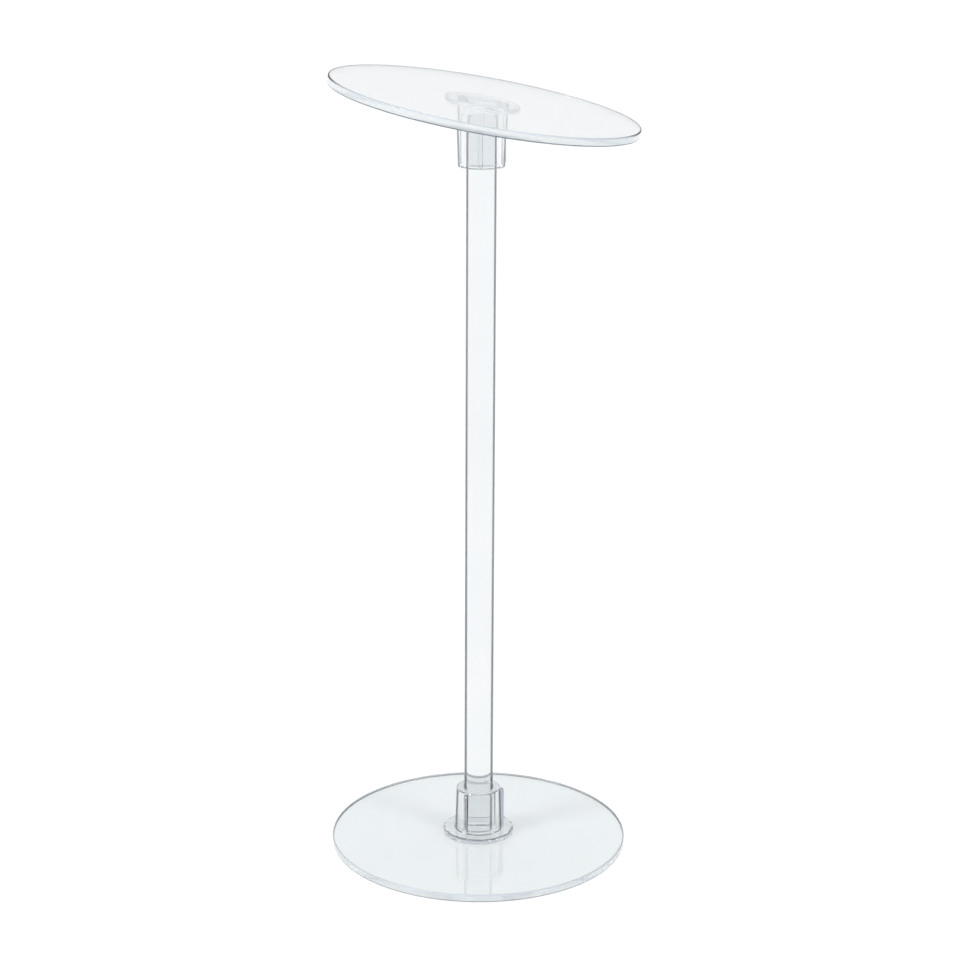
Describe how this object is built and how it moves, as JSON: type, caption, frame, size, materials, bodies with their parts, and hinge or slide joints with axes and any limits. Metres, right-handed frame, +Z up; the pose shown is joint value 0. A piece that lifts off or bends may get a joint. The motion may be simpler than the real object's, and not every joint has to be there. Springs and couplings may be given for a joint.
{
  "type": "pedestal display stand",
  "caption": "Clear slant-top pedestal stand: a round base and a sloping round top, joined by a rod that pushes into a ribbed socket at each end.",
  "frame": {"origin": "centre of the base disc's underside, on the rod's axis", "axes": "+Z up along the rod, +X the way the top slopes down, +Y completes a right-handed frame"},
  "size_m": [0.1234, 0.123, 0.3213],
  "materials": {
    "clear_sheet": "clear cast acrylic sheet with polished faces and rims",
    "clear_rod": "clear extruded acrylic rod, polished",
    "clear_moulding": "clear injection-moulded plastic, glossy"
  },
  "bodies": {
    "base": {"base_disc": "clear_sheet", "base_socket": "clear_moulding"},
    "column": {"rod": "clear_rod"},
    "head": {"top_socket": "clear_moulding", "top_disc": "clear_sheet"}
  },
  "joints": [
    {"name": "rod_lift", "type": "slide", "parent": "base", "child": "column", "axis": [0, 0, 1], "range_m": [0, 0.018]},
    {"name": "top_swivel", "type": "hinge", "parent": "column", "child": "head", "pos_m": [0, 0, 0.2937], "axis": [0, 0, 1], "continuous": true}
  ]
}
